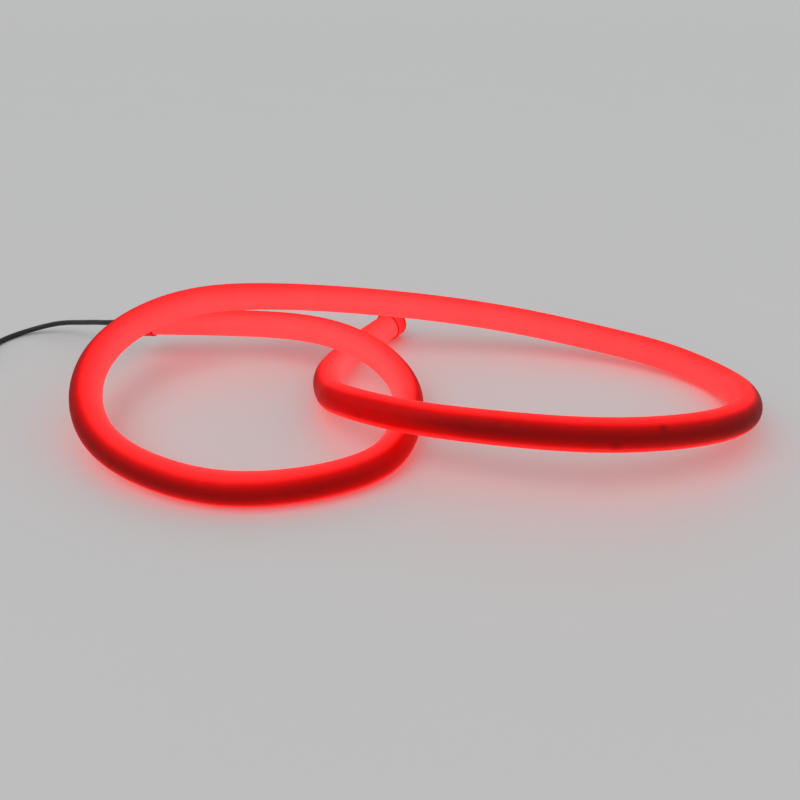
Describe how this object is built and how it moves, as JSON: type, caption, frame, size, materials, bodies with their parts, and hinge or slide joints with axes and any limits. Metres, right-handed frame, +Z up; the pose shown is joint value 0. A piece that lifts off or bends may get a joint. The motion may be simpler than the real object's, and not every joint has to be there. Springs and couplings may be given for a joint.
{
  "type": "led neon flex",
  "caption": "Round silicone LED neon flex glowing red, lying unheld in loose loops, with a feed cap, an end cap and a black low-voltage lead whose spare length is coiled beside it.",
  "frame": {"origin": "on the floor, under the middle of the box round the flex and its two caps, without the lead", "axes": "+X along the long side of the heap of loops, +Y away from the side that faces the viewer, +Z up"},
  "size_m": [0.7556, 0.2918, 0.0728],
  "materials": {
    "milky_silicone": "satin, lit from inside",
    "cap_silicone_feed": "satin, lit from inside",
    "cap_silicone_end": "satin, lit from inside",
    "strip_board": "matt",
    "lead_jacket": "satin",
    "tie_plastic": "satin",
    "socket_moulding": "fine grain",
    "pin_metal": "polished"
  },
  "bodies": {
    "root": {"diffuser_tube": "milky_silicone", "led_strip": "strip_board", "feed_cap": "cap_silicone_feed", "end_cap": "cap_silicone_end", "lead_cable": "lead_jacket", "lead_coil": "lead_jacket", "coil_tie": "tie_plastic", "lead_end": "lead_jacket", "socket_body": "socket_moulding", "socket_pin": "pin_metal"}
  },
  "joints": []
}
